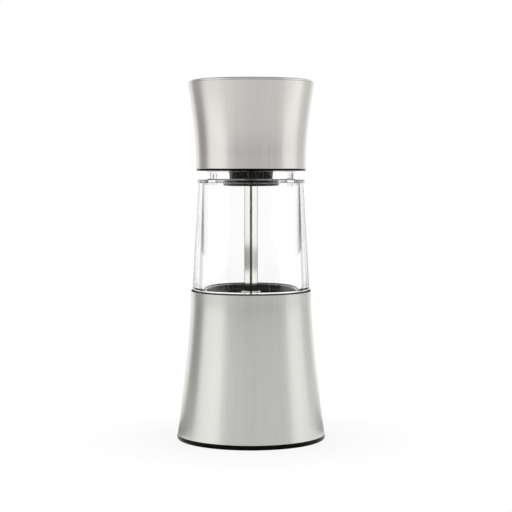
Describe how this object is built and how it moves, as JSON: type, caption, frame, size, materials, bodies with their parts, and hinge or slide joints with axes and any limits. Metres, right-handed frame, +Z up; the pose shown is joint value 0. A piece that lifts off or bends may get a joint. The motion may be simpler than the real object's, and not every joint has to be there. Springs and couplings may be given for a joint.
{
  "type": "spice mill",
  "caption": "Hand spice mill: flared brushed steel base and turning cap, clear tapered jar, square spindle, conical burrs and an adjuster knob underneath.",
  "frame": {"origin": "middle of the foot ring's underside, on the table", "axes": "+Z up along the spindle, -Y towards the viewer of the picture, +X to that viewer's right"},
  "size_m": [0.0748, 0.0748, 0.18],
  "materials": {
    "brushed_steel": "stainless sheet with a fine upright brushing",
    "black_moulding": "black moulded plastic, satin",
    "black_gloss": "black moulded plastic, glossy",
    "screw_steel": "plated screw steel",
    "clear_silicone": "milky soft silicone",
    "black_rubber": "black rubber, matte",
    "clear_acrylic": "clear moulded acrylic, polished",
    "burr_steel": "hardened steel, ground",
    "bright_rod": "nickel plated drawn rod",
    "spring_steel": "spring steel, bright",
    "bush_plastic": "dark bearing plastic, semi-gloss",
    "nut_brass": "turned brass"
  },
  "bodies": {
    "base": {"base_sleeve": "brushed_steel", "base_frame": "black_moulding", "foot_ring": "black_gloss", "base_screws": "screw_steel", "hopper_liner": "black_gloss", "jar_seal": "clear_silicone", "jar": "clear_acrylic", "rim_gasket": "black_rubber", "jar_collar": "clear_acrylic", "spindle_bridge": "black_moulding", "burr_housing": "black_moulding", "stator_burr": "burr_steel", "housing_screws": "screw_steel"},
    "spindle": {"spindle": "bright_rod", "spindle_clip": "spring_steel", "spindle_bush": "bush_plastic", "spring_washer": "spring_steel", "rotor_spring": "spring_steel"},
    "rotor": {"rotor_burr": "burr_steel", "rotor_washer": "spring_steel"},
    "knob": {"adjuster_knob": "black_moulding", "adjuster_nut": "nut_brass"},
    "cap": {"cap_sleeve": "brushed_steel", "cap_top_plate": "brushed_steel", "top_carrier": "black_moulding", "cap_core": "black_gloss", "cap_screws": "screw_steel", "drive_boss": "black_gloss", "boss_screws": "screw_steel", "drive_clip": "spring_steel"}
  },
  "joints": [
    {"name": "spindle_turn", "type": "hinge", "parent": "base", "child": "spindle", "pos_m": [0, 0, 0.07], "axis": [0, 0, 1], "continuous": true},
    {"name": "cap_lift", "type": "slide", "parent": "spindle", "child": "cap", "axis": [0, 0, 1], "range_m": [0, 0.06]},
    {"name": "rotor_set", "type": "slide", "parent": "spindle", "child": "rotor", "axis": [0, 0, 1], "range_m": [0, 0.00105], "deforming": ["rotor_spring"]},
    {"name": "adjuster_turn", "type": "hinge", "parent": "rotor", "child": "knob", "pos_m": [0, 0, 0.013], "axis": [0, 0, 1], "range_deg": [0, 540]}
  ],
  "couplings": [
    {"joint": "adjuster_turn", "follows": "rotor_set", "rad_per_m": 8976}
  ]
}
